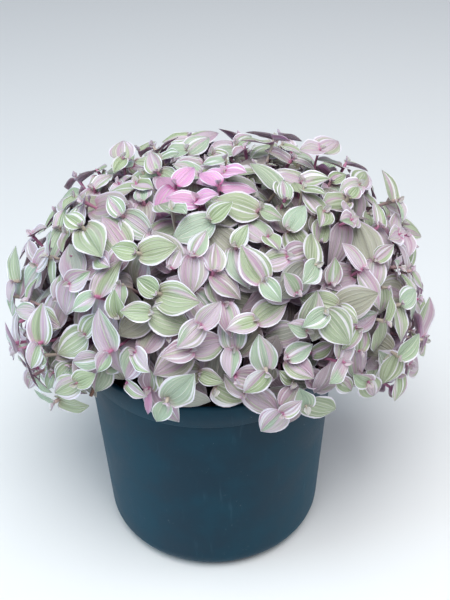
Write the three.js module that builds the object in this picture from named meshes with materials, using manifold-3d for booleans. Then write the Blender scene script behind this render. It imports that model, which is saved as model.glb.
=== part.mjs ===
// A turtle vine in a round plastic pot: pot, compost, and branching leafy stems that mound over the rim.
// Millimetres, +Z up. The origin is the centre of the pot's flat base, and -Y is the front.
import * as THREE from "three";
import { mergeVertices } from "three/addons/utils/BufferGeometryUtils.js";
import Module from "manifold-3d";

const wasm = await Module();
wasm.setup();

// Pot
const RIM_RADIUS = 60;
const POT_HEIGHT = 107;
const BAND_HEIGHT = 12;
const BAND_STEP = 1.4;
const RIM_EDGE = 0.9;
const WAIST_RADIUS = 57.5;
const FOOT_RADIUS = 52;
const FOOT_CORNER = 10;
const CORNER_STEPS = 3;
const WALL = 1.6;
const POT_SIDES = 36;
const DRAIN_RADIUS = 4;
const DRAIN_CIRCLE = 33;
const DRAIN_COUNT = 6;
const DRAIN_SIDES = 8;

// Compost
const SOIL_TOP = 97;
const SOIL_CROWN = 3;
const SOIL_BUMP = 0.9;
const SOIL_SIDES = 18;
const SOIL_RINGS = 3;
const HOLE_SIDES = 4;
const SEAT_GAP = 0.3;

// The mound of foliage, a flattened dome about a centre just below the rim. It is shallower and higher
// at its front.
const MOUND_CENTRE = new THREE.Vector3(5, 4, 104);
const MOUND_RADIUS = 101;
const MOUND_FRONT = 0.84;
const MOUND_RISE = 86;
const MOUND_FALL = 66;
const MOUND_SQUARENESS = 2.35;
const LOWEST_HEIGHT = -0.33;
const FRONT_LIFT = 0.6;
const FRONT_EASE = 0.75;

// Stems: each stands in the compost, climbs to a fork and ends in leafy shoots
const STEM_COUNT = 35;
const SHOOTS_PER_STEM = 3;
const STEM_RADIUS = 1.25;
const STEM_SIDES = 3;
const STEM_STEPS = 4;
const SHOOT_STEPS = 2;
const ROOT_DEPTH = 11;
const ROOT_CIRCLE = 47;
const HOLE_RADIUS = 2.5;
const FIRST_CLIMB = 34;
const OUTER_CLIMB = 8;
const FORK_DEPTH = 27;
const FORK_REACH = 30;
const OUTER_REACH = 20;
const LEAN_SPAN = 1.62;
const SHOOT_SPREAD = 14.5;
const SHOOT_NECK = 0.45;
const SHOOT_BACK = 5;
const SHOOT_START = 4;
const SHOOT_ARRIVAL = 13;
const TIP_DEPTH = 7;

// How shoots lean to the light at the front: fully on the top and the front, least low down at the back
const LIGHT_LEAN = new THREE.Vector3(0, -1.3, 0.8);
const LEAN_SHARE = 0.9;
const HIGHER_LEAN = 1.2;
const BACK_LEAN = -1.6;
const LEAST_LEAN = 0.25;

const GOLDEN_ANGLE = Math.PI * (3 - Math.sqrt(5));

// Leaves, from the rolled young one at the tip of a shoot down to the oldest
const LEAF_LENGTHS = [9, 15.5, 19.5, 20.5];
const LEAF_WIDTHS = [0.5, 0.66, 0.7, 0.7];
const LEAF_RISE = [1.25, 0.42, 0.14, -0.08];
const LEAF_NODES = [0.6, 1.7, 3.9, 7.4];
const LEAF_THICKNESS = 1.2;
const LEAF_FOLD = 0.26;
const LEAF_RECURVE = 0.55;
const LEAF_TURN = Math.PI + 0.42;
const LEAF_CLEARANCE = 0.45;
const RIM_ROOM = 1.2;
const WALL_ROOM = 3;
const SOIL_ROOM = 6;

// Ways to bend a leaf clear of its neighbours: a size, a change of rise and a turn round the shoot
const BEND_SIZES = [1, 0.86, 0.72];
const BEND_RISES = [0, 0.22, -0.22, 0.44, -0.4];
const BEND_TURNS = [0, 0.26, -0.26, 0.52, -0.52, 0.8, -0.8];

// How far growth strays from the rule, either way
const STEM_STRAY = 0.12;
const FORK_STRAY = 3;
const SPREAD_STRAY = 2;
const TIP_STRAY = 4.5;
const FACING_STRAY = 0.28;
const LEAF_TURN_STRAY = 0.2;
const LEAF_RISE_STRAY = 0.16;
const LEAF_LENGTH_STRAY = 0.12;

// A repeatable draw from 0 to 1 for three whole numbers.
function draw(a, b, c) {
  const x = Math.sin(a * 12.9898 + b * 78.233 + c * 37.719) * 4375.8545;
  return x - Math.floor(x);
}

function spread(a, b, c, size) {
  return (2 * draw(a, b, c) - 1) * size;
}

// Solids and meshes

function solidOf(geometry) {
  const bare = geometry.clone();
  bare.deleteAttribute("normal");
  bare.deleteAttribute("uv");
  const merged = mergeVertices(bare, 1e-4);
  return new wasm.Manifold(
    new wasm.Mesh({
      numProp: 3,
      vertProperties: merged.attributes.position.array,
      triVerts: new Uint32Array(merged.index.array),
    }),
  );
}

function geometryOf(solid) {
  const mesh = solid.getMesh();
  return new THREE.BufferGeometry()
    .setAttribute("position", new THREE.BufferAttribute(mesh.vertProperties, 3))
    .setIndex(new THREE.BufferAttribute(mesh.triVerts, 1));
}

function addMesh(group, name, geometry, material) {
  const mesh = new THREE.Mesh(geometry, material);
  mesh.name = name;
  group.add(mesh);
}

// A profile of [radius, height] pairs from axis to axis, turned about Z.
function turned(profile, sides) {
  const points = profile.map(([r, z]) => new THREE.Vector2(r, z));
  return new THREE.LatheGeometry(points, sides).rotateX(Math.PI / 2);
}

// Pot and compost

function wallRadius(z) {
  return FOOT_RADIUS + ((WAIST_RADIUS - FOOT_RADIUS) * (z - FOOT_CORNER)) / (POT_HEIGHT - FOOT_CORNER);
}

function footCorner(radius, steps) {
  const corner = [];
  for (let k = 0; k <= steps; k++) {
    const a = (k / steps) * (Math.PI / 2);
    corner.push([FOOT_RADIUS - FOOT_CORNER + radius * Math.sin(a), FOOT_CORNER - radius * Math.cos(a)]);
  }
  return corner;
}

function potSolid() {
  const bandFoot = POT_HEIGHT - BAND_HEIGHT;
  const outside = [
    [0, 0],
    ...footCorner(FOOT_CORNER, CORNER_STEPS),
    [wallRadius(bandFoot), bandFoot],
    [wallRadius(bandFoot) + BAND_STEP, bandFoot + RIM_EDGE],
    [RIM_RADIUS - RIM_EDGE / 3, POT_HEIGHT - RIM_EDGE],
    [RIM_RADIUS - RIM_EDGE, POT_HEIGHT],
  ];
  const inside = [
    [RIM_RADIUS - WALL - RIM_EDGE / 2, POT_HEIGHT],
    [RIM_RADIUS - WALL - RIM_EDGE, POT_HEIGHT - RIM_EDGE],
    [wallRadius(bandFoot) - WALL + RIM_EDGE / 2, bandFoot],
    ...footCorner(FOOT_CORNER - WALL, CORNER_STEPS - 1).reverse(),
    [0, WALL],
  ];
  let pot = solidOf(turned([...outside, ...inside], POT_SIDES));
  for (let k = 0; k < DRAIN_COUNT; k++) {
    const turn = (k / DRAIN_COUNT) * 2 * Math.PI;
    const hole = new THREE.CylinderGeometry(DRAIN_RADIUS, DRAIN_RADIUS, 4 * WALL, DRAIN_SIDES)
      .rotateX(Math.PI / 2)
      .translate(DRAIN_CIRCLE * Math.cos(turn), DRAIN_CIRCLE * Math.sin(turn), 0);
    pot = pot.subtract(solidOf(hole));
  }
  return pot;
}

function soilHeight(x, y) {
  const r = Math.hypot(x, y) / ROOT_CIRCLE;
  const lumps = Math.sin(0.31 * x + 1.1) * Math.cos(0.27 * y) + Math.sin(0.17 * (x + 2 * y));
  return SOIL_TOP + SOIL_CROWN * Math.max(0, 1 - r * r) + SOIL_BUMP * lumps;
}

function soilSolid(stems) {
  const edge = wallRadius(SOIL_TOP) - WALL - 2.5 * SEAT_GAP;
  const rings = Array.from({ length: SOIL_RINGS + 1 }, (_, k) => [edge * (1 - k / SOIL_RINGS), SOIL_TOP]);
  const corner = footCorner(FOOT_CORNER - WALL - 2 * SEAT_GAP, CORNER_STEPS - 1);
  const geometry = turned([[0, corner[0][1]], ...corner, ...rings], SOIL_SIDES);
  const position = geometry.attributes.position;
  for (let i = 0; i < position.count; i++)
    if (position.getZ(i) > SOIL_TOP - 1)
      position.setZ(i, soilHeight(position.getX(i), position.getY(i)));
  let soil = solidOf(geometry);
  for (const stem of stems) {
    const foot = stem.points[0];
    const way = stem.points[1].clone().sub(foot).normalize();
    const length = 3 * ROOT_DEPTH;
    const hole = new THREE.CylinderGeometry(HOLE_RADIUS, HOLE_RADIUS, length, HOLE_SIDES);
    hole.rotateX(Math.PI / 2);
    hole.applyQuaternion(new THREE.Quaternion().setFromUnitVectors(new THREE.Vector3(0, 0, 1), way));
    const middle = foot.clone().addScaledVector(way, length / 2 - SEAT_GAP);
    hole.translate(middle.x, middle.y, middle.z);
    soil = soil.subtract(solidOf(hole));
  }
  return soil;
}

// The mound and its stems

// The mound's surface along a unit vector from its centre.
function moundRadius(way) {
  const across = Math.hypot(way.x, way.y < 0 ? way.y / MOUND_FRONT : way.y) / MOUND_RADIUS;
  const along = Math.abs(way.z) / (way.z > 0 ? MOUND_RISE : MOUND_FALL);
  const n = MOUND_SQUARENESS;
  return (across ** n + along ** n) ** (-1 / n);
}

function moundPoint(way, depth) {
  return MOUND_CENTRE.clone().addScaledVector(way, moundRadius(way) - depth);
}

// Two unit vectors square to a given one.
function squareTo(way) {
  const first = new THREE.Vector3(0.31, 0.52, 0.79).cross(way).normalize();
  return [first, new THREE.Vector3().crossVectors(way, first)];
}

// A route through given points in straight runs, as a curve that keeps each point where it is.
class Route extends THREE.Curve {
  constructor(points) {
    super();
    this.points = points;
  }
  getUtoTmapping(u) {
    return u;
  }
  getPoint(t) {
    const at = t * (this.points.length - 1);
    const k = Math.min(Math.floor(at), this.points.length - 2);
    return this.points[k].clone().lerp(this.points[k + 1], at - k);
  }
}

// Stem i rises from a sunflower pattern on the compost to its place on the mound.
function makeStem(i) {
  const share = (i + 0.5) / STEM_COUNT;
  const turn = i * GOLDEN_ANGLE + spread(i, 1, 1, STEM_STRAY);
  const lowest = LOWEST_HEIGHT + FRONT_LIFT * Math.max(0, -Math.sin(turn)) ** FRONT_EASE;
  const height = 1 - share * (1 - lowest);
  const flat = Math.sqrt(1 - height * height);
  const way = new THREE.Vector3(flat * Math.cos(turn), flat * Math.sin(turn), height);
  const fork = moundPoint(way, FORK_DEPTH + spread(i, 2, 1, FORK_STRAY));
  const lean = -Math.PI / 2 + (Math.asin(height) - Math.asin(LOWEST_HEIGHT)) * LEAN_SPAN;
  const arrive = new THREE.Vector3(
    Math.cos(lean) * Math.cos(turn),
    Math.cos(lean) * Math.sin(turn),
    Math.sin(lean),
  );
  const rootRadius = ROOT_CIRCLE * Math.sqrt(share);
  const root = new THREE.Vector3(rootRadius * Math.cos(turn), rootRadius * Math.sin(turn), 0);
  root.z = soilHeight(root.x, root.y) - ROOT_DEPTH;
  const climb = root.clone().setZ(root.z + FIRST_CLIMB + OUTER_CLIMB * share);
  const reach = fork.clone().addScaledVector(arrive, -(FORK_REACH + OUTER_REACH * share * share));
  const points = new THREE.CubicBezierCurve3(root, climb, reach, fork).getPoints(STEM_STEPS);
  const stem = { index: i, way, points, fork, arrive, shoots: [] };
  for (let k = 0; k < SHOOTS_PER_STEM; k++) stem.shoots.push(makeShoot(stem, k));
  return stem;
}

function makeShoot(stem, k) {
  const [east, north] = squareTo(stem.way);
  const turn = (k / SHOOTS_PER_STEM) * 2 * Math.PI + 2 * Math.PI * draw(stem.index, 3, 7);
  const offset = (SHOOT_SPREAD + spread(stem.index, k, 11, SPREAD_STRAY)) / moundRadius(stem.way);
  const way = stem.way
    .clone()
    .addScaledVector(east, offset * Math.cos(turn))
    .addScaledVector(north, offset * Math.sin(turn))
    .normalize();
  const tip = moundPoint(way, TIP_DEPTH + spread(stem.index, k, 13, TIP_STRAY));
  const lean = LEAN_SHARE + HIGHER_LEAN * way.z + BACK_LEAN * Math.max(0, way.y);
  const facing = way.clone().addScaledVector(LIGHT_LEAN, Math.min(1, Math.max(LEAST_LEAN, lean)));
  facing.x += spread(stem.index, k, 17, FACING_STRAY);
  facing.y += spread(stem.index, k, 19, FACING_STRAY);
  facing.normalize();
  const before = stem.points[STEM_STEPS - 1];
  const start = stem.fork.clone().lerp(before, (k * SHOOT_BACK) / stem.fork.distanceTo(before));
  const curve = new THREE.CubicBezierCurve3(
    start,
    start.clone().addScaledVector(stem.arrive, SHOOT_START),
    tip.clone().addScaledVector(facing, -SHOOT_ARRIVAL),
    tip,
  );
  const around = 2 * Math.PI * draw(stem.index, k, 23);
  return { stem, index: k, points: curve.getPoints(SHOOT_STEPS), turn: around };
}

// A stem and its first shoot are one tube. The other shoots branch from inside it.
function stemRoute(stem) {
  return [...stem.points, ...stem.shoots[0].points.slice(1)];
}

// A three-sided tube along a route. Its first end is narrowed by the given factor.
function tube(points, neck) {
  const section = new THREE.Shape();
  for (let s = 0; s < STEM_SIDES; s++) {
    const a = (s / STEM_SIDES) * 2 * Math.PI;
    const [x, y] = [STEM_RADIUS * Math.cos(a), STEM_RADIUS * Math.sin(a)];
    if (s) section.lineTo(x, y);
    else section.moveTo(x, y);
  }
  const options = { steps: points.length - 1, bevelEnabled: false, extrudePath: new Route(points) };
  const geometry = new THREE.ExtrudeGeometry(section, options);
  const position = geometry.attributes.position;
  const corner = new THREE.Vector3();
  for (let i = 0; i < position.count; i++) {
    corner.fromBufferAttribute(position, i);
    if (corner.distanceTo(points[0]) > 2 * STEM_RADIUS) continue;
    corner.lerpVectors(points[0], corner.clone(), neck);
    position.setXYZ(i, corner.x, corner.y, corner.z);
  }
  return geometry;
}

// Leaves

// The place at a distance back from the tip of a shoot, and the way that the shoot runs there.
function placeFromTip(points, distance) {
  let left = distance;
  for (let k = points.length - 1; ; k--) {
    const axis = points[k].clone().sub(points[k - 1]);
    const run = axis.length();
    axis.normalize();
    if (left <= run || k === 1) return [points[k].clone().addScaledVector(axis, -left), axis];
    left -= run;
  }
}

// Leaf j of a shoot, bent by a size, a change of rise and a turn: where it grows, how it lies and its size.
function leafPose(shoot, j, [size, rise, turn]) {
  const { index: i } = shoot.stem;
  const [base, axis] = placeFromTip(shoot.points, LEAF_NODES[j]);
  const [first, second] = squareTo(axis);
  const around = shoot.turn + j * LEAF_TURN + spread(i, j, 29 + shoot.index, LEAF_TURN_STRAY) + turn;
  const up = LEAF_RISE[j] + spread(i, j, 37 + shoot.index, LEAF_RISE_STRAY) + rise;
  const outward = first.multiplyScalar(Math.cos(around)).addScaledVector(second, Math.sin(around));
  const along = outward.clone().multiplyScalar(Math.cos(up)).addScaledVector(axis, Math.sin(up));
  const face = axis.clone().multiplyScalar(Math.cos(up)).addScaledVector(outward, -Math.sin(up));
  const side = new THREE.Vector3().crossVectors(along, face);
  const reach = LEAF_LENGTHS[j] * (1 + spread(i, j, 41 + shoot.index, LEAF_LENGTH_STRAY)) * size;
  const outline = j ? OUTLINE : YOUNG_OUTLINE;
  return { base, along, face, side, outline, length: reach, halfWidth: (reach * LEAF_WIDTHS[j]) / 2 };
}

// A point of the blade at v of its length, w of its half width, and a lift off its middle surface.
function bladePoint(pose, v, w, lift) {
  const bend = LEAF_RECURVE * v;
  const along = (pose.length * Math.sin(bend)) / LEAF_RECURVE;
  const drop = (pose.length * (1 - Math.cos(bend))) / LEAF_RECURVE;
  const across = w * pose.halfWidth;
  return pose.base
    .clone()
    .addScaledVector(pose.along, along)
    .addScaledVector(pose.side, across)
    .addScaledVector(pose.face, LEAF_FOLD * Math.abs(across) - drop + lift);
}

// The outline runs round the blade from the stalk end by the right edge to the tip and back by the left.
const OUTLINE = [
  [0, 0],
  [0.15, 0.5],
  [0.44, 1],
  [0.78, 0.64],
  [1, 0],
  [0.78, -0.64],
  [0.44, -1],
  [0.15, -0.5],
];
const YOUNG_OUTLINE = [[0, 0], [0.24, 0.8], [0.66, 0.86], [1, 0], [0.66, -0.86], [0.24, -0.8]];
const UPPER_RIB = 0.42;
const KEEL = 0.13;

// The blade's corners and triangles, grown by a margin on every side for the test of clearance.
function blade(pose, margin) {
  const wide = 1 + margin / pose.halfWidth;
  const long = 1 + margin / pose.length;
  const corners = pose.outline.map(([v, w]) => bladePoint(pose, v * long, w * wide, 0));
  const n = corners.length;
  corners.push(bladePoint(pose, UPPER_RIB, 0, margin));
  corners.push(bladePoint(pose, KEEL, 0, -LEAF_THICKNESS - margin));
  const triangles = [[n - 1, 0, 1], [n - 1, 1, n]];
  for (let c = 1; c < n - 1; c++) triangles.push([c, c + 1, n]);
  for (let c = 0; c < n; c++) triangles.push([(c + 1) % n, c, n + 1]);
  return { corners, triangles };
}

function bladeGeometry({ corners, triangles }) {
  return new THREE.BufferGeometry().setFromPoints(corners).setIndex(triangles.flat());
}

// Clearance between leaves, stems and pot

const scratch = { line: new THREE.Ray(), way: new THREE.Vector3(), hit: new THREE.Vector3() };

function edgeCuts(a, b, triangle) {
  const { line, way, hit } = scratch;
  way.subVectors(b, a);
  const length = way.length();
  line.origin.copy(a);
  line.direction.copy(way).divideScalar(length);
  const found = line.intersectTriangle(triangle.a, triangle.b, triangle.c, false, hit);
  return found !== null && found.distanceTo(a) <= length;
}

// A blade as three.js triangles with its edges and a ball round it, for the tests below.
function shapeOf(made) {
  const triangles = made.triangles.map((t) => new THREE.Triangle(...t.map((c) => made.corners[c])));
  const edges = [];
  for (const t of made.triangles)
    for (let e = 0; e < 3; e++)
      if (t[e] < t[(e + 1) % 3]) edges.push([made.corners[t[e]], made.corners[t[(e + 1) % 3]]]);
  const ball = new THREE.Sphere().setFromPoints(made.corners);
  return { corners: made.corners, triangles, edges, ball };
}

function crosses(one, other) {
  if (!one.ball.intersectsSphere(other.ball)) return false;
  return (
    one.edges.some(([a, b]) => other.triangles.some((t) => edgeCuts(a, b, t))) ||
    other.edges.some(([a, b]) => one.triangles.some((t) => edgeCuts(a, b, t)))
  );
}

// Points about 1 mm apart along every stem and shoot, each with the shoot that it belongs to.
function stemBeads(stems) {
  const beads = [];
  const add = (points, shoot) => {
    for (let k = 1; k < points.length; k++) {
      const count = Math.ceil(points[k].distanceTo(points[k - 1]));
      for (let c = 0; c < count; c++) {
        beads.push({ point: points[k - 1].clone().lerp(points[k], c / count), shoot });
      }
    }
  };
  for (const stem of stems) {
    add(stem.points, null);
    for (const shoot of stem.shoots) add(shoot.points, shoot);
  }
  return beads;
}

function hitsStem(shape, shoot, beads) {
  const near = new THREE.Vector3();
  const room = STEM_RADIUS + LEAF_CLEARANCE;
  return beads.some(
    ({ point, shoot: own }) =>
      own !== shoot &&
      shape.ball.distanceToPoint(point) < room &&
      shape.triangles.some((t) => t.closestPointToPoint(point, near).distanceTo(point) < room),
  );
}

function hitsPot(shape) {
  const inPot = ({ x, y, z }) => {
    const r = Math.hypot(x, y);
    if (z > POT_HEIGHT + RIM_ROOM || r > RIM_RADIUS + RIM_ROOM) return false;
    return r > WAIST_RADIUS - WALL - WALL_ROOM || z < SOIL_TOP + SOIL_ROOM;
  };
  return shape.edges.some(([a, b]) => [0, 0.25, 0.5, 0.75].some((t) => inPot(a.clone().lerp(b, t))));
}

// The first way of bending leaf j that clears everything already there, or null where none does.
function clearLeaf(shoot, j, placed, beads) {
  for (const size of BEND_SIZES)
    for (const rise of BEND_RISES)
      for (const turn of BEND_TURNS) {
        const pose = leafPose(shoot, j, [size, rise, turn]);
        const shape = shapeOf(blade(pose, LEAF_CLEARANCE));
        if (hitsPot(shape) || hitsStem(shape, shoot, beads)) continue;
        if (placed.some((other) => other.shoot !== shoot && crosses(shape, other.shape))) continue;
        return { shoot, made: blade(pose, 0), shape };
      }
  return null;
}

function placeLeaves(stems) {
  const beads = stemBeads(stems);
  const placed = [];
  for (let j = 0; j < LEAF_LENGTHS.length; j++)
    for (const stem of stems)
      for (const shoot of stem.shoots) {
        const leaf = clearLeaf(shoot, j, placed, beads);
        if (leaf) placed.push(leaf);
      }
  return placed;
}

function stemSolid(stem, leaves) {
  let solid = solidOf(tube(stemRoute(stem), 1));
  for (const shoot of stem.shoots.slice(1)) solid = solid.add(solidOf(tube(shoot.points, SHOOT_NECK)));
  for (const leaf of leaves)
    if (leaf.shoot.stem === stem) solid = solid.add(solidOf(bladeGeometry(leaf.made)));
  return solid;
}

// The whole plant

const materials = {
  pot: new THREE.MeshStandardMaterial({ color: 0x2b4a5c, roughness: 0.55, metalness: 0 }),
  soil: new THREE.MeshStandardMaterial({ color: 0x2a211b, roughness: 1, metalness: 0 }),
  green: new THREE.MeshStandardMaterial({ color: 0xb4c0a0, roughness: 0.5, metalness: 0 }),
  pink: new THREE.MeshStandardMaterial({ color: 0xd9b8cd, roughness: 0.5, metalness: 0 }),
};

const plant = new THREE.Group();
const stems = Array.from({ length: STEM_COUNT }, (_, i) => makeStem(i));
const leaves = placeLeaves(stems);
addMesh(plant, "pot", geometryOf(potSolid()), materials.pot);
addMesh(plant, "soil", geometryOf(soilSolid(stems)), materials.soil);
for (const stem of stems) {
  const name = "stem_" + String(stem.index + 1).padStart(2, "0");
  const material = stem.index % 3 === 1 ? materials.pink : materials.green;
  addMesh(plant, name, geometryOf(stemSolid(stem, leaves)), material);
}

export default plant;
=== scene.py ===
"""A pink lady turtle vine in its pot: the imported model's plain stems are dressed as fine leafy ones.

Lengths are millimetres until a mesh is made, and metres from there on. +Z is up and -Y is the front.
"""

import math

import bpy
import numpy as np
from mathutils import Matrix, Vector
from mathutils.bvhtree import BVHTree
from mathutils.kdtree import KDTree


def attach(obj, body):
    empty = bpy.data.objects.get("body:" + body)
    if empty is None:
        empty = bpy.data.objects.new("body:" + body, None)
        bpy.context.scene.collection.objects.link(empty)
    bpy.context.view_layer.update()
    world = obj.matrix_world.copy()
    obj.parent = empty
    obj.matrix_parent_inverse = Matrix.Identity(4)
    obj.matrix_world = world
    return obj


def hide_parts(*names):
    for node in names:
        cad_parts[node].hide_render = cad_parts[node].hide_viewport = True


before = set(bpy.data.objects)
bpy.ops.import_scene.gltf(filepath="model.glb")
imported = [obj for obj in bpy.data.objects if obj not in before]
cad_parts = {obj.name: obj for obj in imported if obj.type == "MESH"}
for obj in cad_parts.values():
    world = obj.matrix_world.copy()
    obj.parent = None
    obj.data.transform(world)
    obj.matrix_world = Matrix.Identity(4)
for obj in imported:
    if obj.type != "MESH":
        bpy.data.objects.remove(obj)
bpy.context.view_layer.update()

MM = 0.001

# Pot
RIM_RADIUS = 60
POT_HEIGHT = 107
BAND_HEIGHT = 12
BAND_STEP = 1.4
WAIST_RADIUS = 57.5
FOOT_RADIUS = 52
FOOT_CORNER = 10
WALL = 1.6
DRAIN_RADIUS = 4
DRAIN_CIRCLE = 33
DRAIN_COUNT = 6

# Compost
SOIL_TOP = 97
SOIL_CROWN = 3
SOIL_BUMP = 0.9
SOIL_WAVES = (0.31, 0.27, 0.17)
SOIL_SHIFT = 1.1
SOIL_CLEAR = 1.5

# The mound of foliage, a flattened dome about a centre just below the rim, shallower and higher at its front
MOUND_CENTRE = Vector((5, 4, 104))
MOUND_RADIUS = 101
MOUND_FRONT = 0.84
MOUND_RISE = 86
MOUND_FALL = 66
MOUND_SQUARENESS = 2.35
LOWEST_HEIGHT = -0.33
FRONT_LIFT = 0.6
FRONT_EASE = 0.75

# Stems and shoots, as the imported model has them
STEM_COUNT = sum(name.startswith("stem_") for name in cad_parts)
SHOOTS_PER_STEM = 3
STEM_STEPS = 4
SHOOT_STEPS = 2
ROOT_DEPTH = 11
ROOT_CIRCLE = 47
FIRST_CLIMB = 34
OUTER_CLIMB = 8
FORK_DEPTH = 27
FORK_REACH = 30
OUTER_REACH = 20
LEAN_SPAN = 1.62
SHOOT_SPREAD = 14.5
SHOOT_BACK = 5
SHOOT_START = 4
SHOOT_ARRIVAL = 13
TIP_DEPTH = 7

# How shoots lean to the light at the front: fully on the top and the front, least low down at the back
LIGHT_LEAN = Vector((0, -1.3, 0.8))
LEAN_SHARE = 0.9
HIGHER_LEAN = 1.2
BACK_LEAN = -1.6
LEAST_LEAN = 0.25

# Leaves, from the rolled young one at the tip down to the oldest. The last two only grow here.
LEAF_LENGTHS = [9, 15.5, 19.5, 20.5, 20.5, 20]
LEAF_WIDTHS = [0.5, 0.66, 0.7, 0.7, 0.7, 0.7]
LEAF_RISE = [1.25, 0.42, 0.14, -0.08, -0.12, -0.16]
LEAF_NODES = [0.6, 1.7, 3.9, 7.4, 11.5, 16.5]
MODEL_LEAVES = 4
LEAF_FOLD = 0.26
LEAF_RECURVE = 0.55
LEAF_TURN = math.pi + 0.42
BEND_SIZES = [1, 0.86, 0.72]
BEND_RISES = [0, 0.22, -0.22, 0.44, -0.4]
BEND_TURNS = [0, 0.26, -0.26, 0.52, -0.52, 0.8, -0.8]
MATCH_DISTANCE = 0.03

# How far growth strays from the rule, either way
STEM_STRAY = 0.12
FORK_STRAY = 3
SPREAD_STRAY = 2
TIP_STRAY = 4.5
FACING_STRAY = 0.28
LEAF_TURN_STRAY = 0.2
LEAF_RISE_STRAY = 0.16
LEAF_LENGTH_STRAY = 0.12

# Shoots that fill the gaps between the model's own
FILL_CANDIDATES = 2000
FILL_SPACING = 10.5
FILL_COUNT = 300
FILL_DEPTH = 9
FILL_STRAY = 4
FILL_STEPS = 4

# Shoots that stand out: the tip of each, the way that it faces and the way that its third leaf points.
# Some spill over the front of the rim or hang at its sides, and some stand up at the top.
OUTSTANDING = [
    ((-42, -52, 124), (-0.2, -0.8, 0.5), (-0.8, 0, -0.4)),
    ((-24, -62, 120), (-0.1, -0.85, 0.5), (0.5, 0, -0.8)),
    ((-3, -63, 128), (0.1, -0.85, 0.5), (-0.9, 0, -0.3)),
    ((3, -65, 121), (0, -0.9, 0.3), (0.2, 0, -1)),
    ((14, -66, 120), (0.1, -0.85, 0.5), (0.7, 0, -0.5)),
    ((28.6, -75, 116.4), (-0.1, -0.75, 0.65), (-0.5, -0.5, -0.7)),
    ((44, -60, 120), (0.2, -0.8, 0.5), (0.7, 0, -0.6)),
    ((-66, -34, 108), (-0.2, -0.8, 0.4), (0.15, 0, -1)),
    ((74, -34, 110), (0.2, -0.8, 0.4), (0.05, 0, -1)),
    ((45, -61, 155), (0.1, -0.85, 0.5), (1, 0, 0)),
    ((-86, -22, 114), (-0.4, -0.8, 0.6), (0.1, 0, 1)),
    ((-87, -6, 128), (-0.5, -0.6, 0.8), (-0.2, 0, 1)),
    ((88, -24, 118), (0.3, -0.8, 0.6), (-0.2, 0, 1)),
    ((89, -6, 138), (0.4, -0.7, 0.8), (-0.3, 0, 1)),
    ((84, 14, 162), (0.3, -0.8, 0.5), (0.1, 0, 1)),
    ((-37, 29, 178), (-0.1, -0.9, 0.4), (-0.1, 0, 1)),
    ((-9, 30, 181), (0, -0.9, 0.4), (0.65, 0, 0.75)),
    ((50, 26, 182), (0.1, -0.9, 0.4), (0.8, 0, 0.6)),
    ((30, 30, 186), (0.3, 0.8, 0.6), (1, 0, 0)),
]

# An old dry stem that has lost its leaves and hangs over the rim, and a withered leaf beside it
OLD_STALK = [Vector((-38, -40, 123)), Vector((-45, -44, 115)), Vector((-50, -46, 104))]
OLD_STALK_RADIUS = 0.8
WITHERED_PLACE = Vector((-27, -66, 118))
WITHERED_WAY = Vector((-0.08, -0.2, -1)).normalized()
WITHERED_LENGTH = 14
WITHERED_BREADTH = 0.22
WITHERED_AGE = 0.2

GOLDEN_ANGLE = math.pi * (3 - math.sqrt(5))

# Any one slanting direction, from which others square to a stem are found
SLANT = Vector((0.31, 0.52, 0.79))

# What spreads the draws, which look random and are the same every time
DRAW_STEPS = (12.9898, 78.233, 37.719)
DRAW_SCALE = 4375.8545


def draw(a, b, c):
    """A repeatable draw from 0 to 1 for three whole numbers, which tell one draw from another."""
    x = math.sin(a * DRAW_STEPS[0] + b * DRAW_STEPS[1] + c * DRAW_STEPS[2]) * DRAW_SCALE
    return x - math.floor(x)


def spread(a, b, c, size):
    """A repeatable draw from minus a size to that size."""
    return (2 * draw(a, b, c) - 1) * size


# The mound and its stems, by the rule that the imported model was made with


def soil_height(x, y):
    r = math.hypot(x, y) / ROOT_CIRCLE
    across, along, slanting = SOIL_WAVES
    lumps = math.sin(across * x + SOIL_SHIFT) * math.cos(along * y) + math.sin(slanting * (x + 2 * y))
    return SOIL_TOP + SOIL_CROWN * max(0, 1 - r * r) + SOIL_BUMP * lumps


def mound_radius(way):
    across = math.hypot(way.x, way.y / MOUND_FRONT if way.y < 0 else way.y) / MOUND_RADIUS
    along = abs(way.z) / (MOUND_RISE if way.z > 0 else MOUND_FALL)
    n = MOUND_SQUARENESS
    return (across**n + along**n) ** (-1 / n)


def mound_point(way, depth):
    return MOUND_CENTRE + way * (mound_radius(way) - depth)


def mound_way(share, turn):
    """The way to a place on the mound: a share of the way down from its top, and a turn about Z."""
    lowest = LOWEST_HEIGHT + FRONT_LIFT * max(0, -math.sin(turn)) ** FRONT_EASE
    height = 1 - share * (1 - lowest)
    flat = math.sqrt(1 - height * height)
    return Vector((flat * math.cos(turn), flat * math.sin(turn), height))


def square_to(way):
    """Two unit vectors square to a given one."""
    first = SLANT.cross(way).normalized()
    return first, way.cross(first)


def bezier(corners, t):
    a, b, c, d = corners
    s = 1 - t
    return a * s**3 + b * (3 * s * s * t) + c * (3 * s * t * t) + d * t**3


def bezier_points(corners, steps):
    return [bezier(corners, k / steps) for k in range(steps + 1)]


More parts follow.
